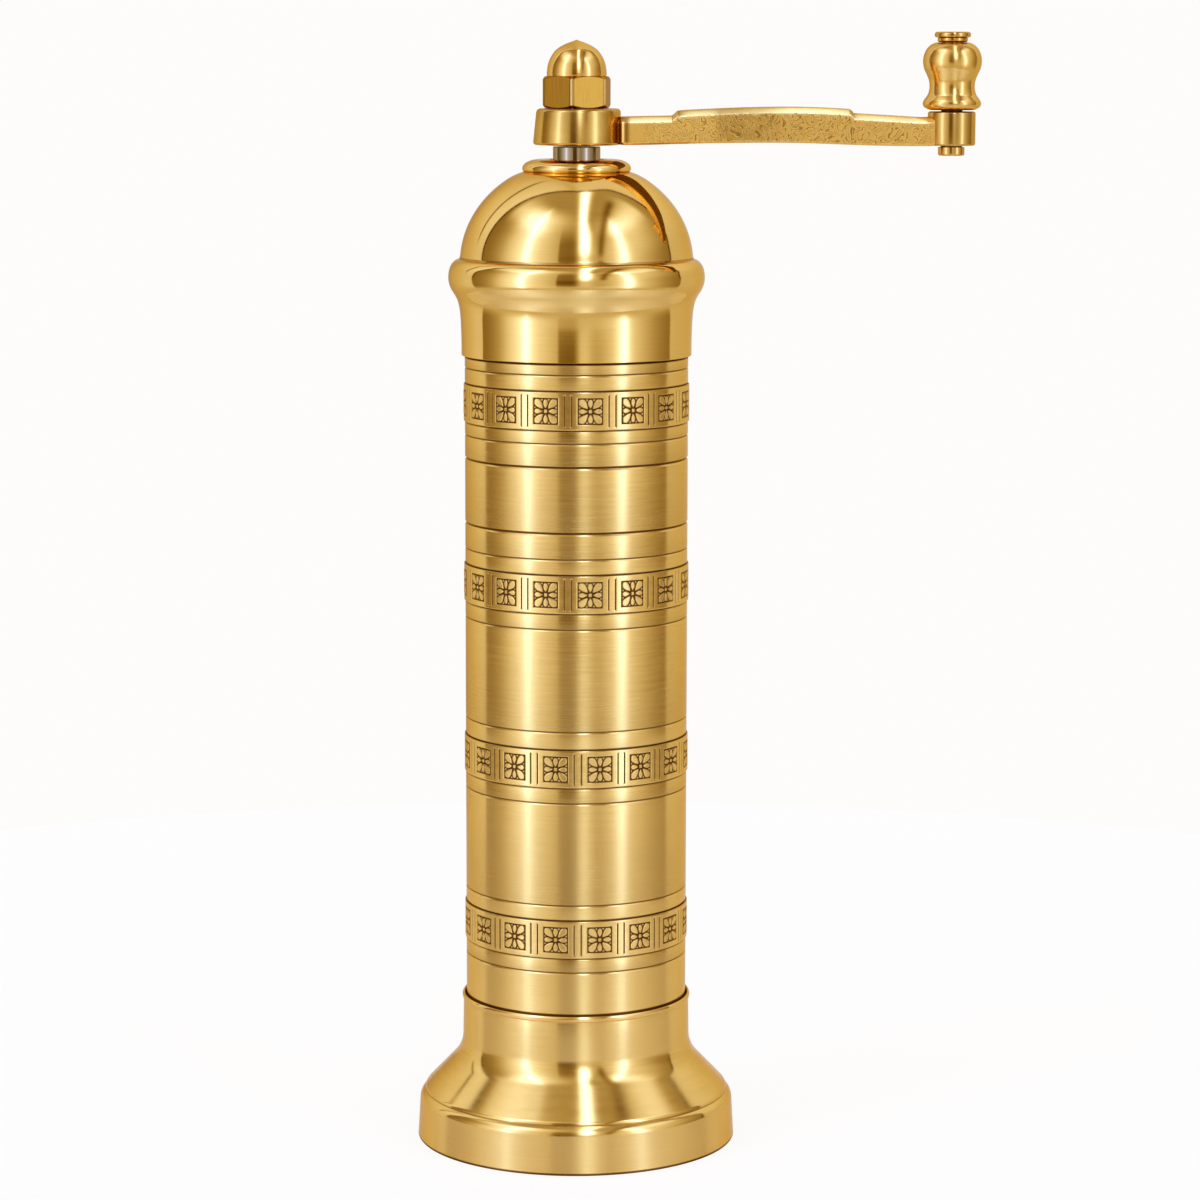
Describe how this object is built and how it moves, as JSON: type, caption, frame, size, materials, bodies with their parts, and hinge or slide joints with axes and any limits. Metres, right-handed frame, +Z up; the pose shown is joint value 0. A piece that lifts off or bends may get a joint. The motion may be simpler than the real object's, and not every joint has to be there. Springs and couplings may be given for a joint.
{
  "type": "salt mill",
  "caption": "Tall brass crank salt mill: flared foot, banded tube, lift-off domed cap, cast crank with a turned knob, acorn nut, steel spindle and burrs.",
  "frame": {"origin": "on the mill's axis, in the plane that the foot stands on; the flat end of the adjusting screw lies on the axis 1 mm above it", "axes": "+Z up along the mill's axis, +X along the crank from the spindle to the knob, -Y the side that the picture shows"},
  "size_m": [0.1158, 0.0666, 0.2307],
  "materials": {
    "brass_brushed": "turned and satin brushed around, clear lacquer",
    "brass_polished": "turned and polished, clear lacquer",
    "brass_cast": "cast, tumbled and polished on the high places",
    "steel_bright": "ground bright",
    "steel_spring": "drawn, oiled",
    "steel_burr": "hardened, milled teeth"
  },
  "bodies": {
    "mill_body": {"foot": "brass_brushed", "body_tube": "brass_brushed", "lower_bridge": "brass_cast", "bridge_screw_right": "steel_bright", "bridge_screw_left": "steel_bright", "outer_burr": "steel_burr", "upper_bridge": "brass_brushed", "upper_bush": "brass_cast", "spring": "steel_spring"},
    "cap": {"dome_cap": "brass_polished"},
    "adjuster": {"adjusting_screw": "brass_cast"},
    "jam_nut": {"lock_nut": "brass_cast"},
    "thrust": {"thrust_ball": "steel_bright"},
    "rotor": {"spindle": "steel_bright", "spindle_sleeve": "steel_bright", "spring_seat": "steel_bright", "retaining_clip": "steel_spring", "inner_burr": "steel_burr", "burr_nut": "steel_bright"},
    "crank": {"crank_arm": "brass_cast", "knob_pin": "brass_polished"},
    "knob": {"crank_knob": "brass_polished"},
    "top_nut": {"acorn_nut": "brass_polished"}
  },
  "joints": [
    {"name": "cap_lift", "type": "slide", "parent": "mill_body", "child": "cap", "axis": [0, 0, 1], "range_m": [0, 0.06]},
    {"name": "jam_nut_turn", "type": "hinge", "parent": "mill_body", "child": "jam_nut", "pos_m": [0, 0, 0.0088], "axis": [0, 0, 1], "range_deg": [-90, 0]},
    {"name": "burr_rise", "type": "slide", "parent": "mill_body", "child": "thrust", "axis": [0, 0, 1], "range_m": [0, 0.0007], "deforming": ["spring"]},
    {"name": "adjuster_turn", "type": "hinge", "parent": "thrust", "child": "adjuster", "pos_m": [0, 0, 0.0035], "axis": [0, 0, 1], "range_deg": [0, 252.5]},
    {"name": "crank_spin", "type": "hinge", "parent": "thrust", "child": "rotor", "pos_m": [0, 0, 0.0168], "axis": [0, 0, 1], "continuous": true},
    {"name": "crank_lift", "type": "slide", "parent": "rotor", "child": "crank", "axis": [0, 0, 1], "range_m": [0, 0.084]},
    {"name": "knob_spin", "type": "hinge", "parent": "crank", "child": "knob", "pos_m": [0.0765, 0, 0.2147], "axis": [0, 0, 1], "continuous": true},
    {"name": "nut_lift", "type": "slide", "parent": "crank", "child": "top_nut", "axis": [0, 0, 1], "range_m": [0, 0.015]}
  ],
  "couplings": [
    {"joint": "crank_lift", "follows": "cap_lift", "ratio": 1.4},
    {"joint": "adjuster_turn", "follows": "burr_rise", "rad_per_m": 6283.2}
  ]
}
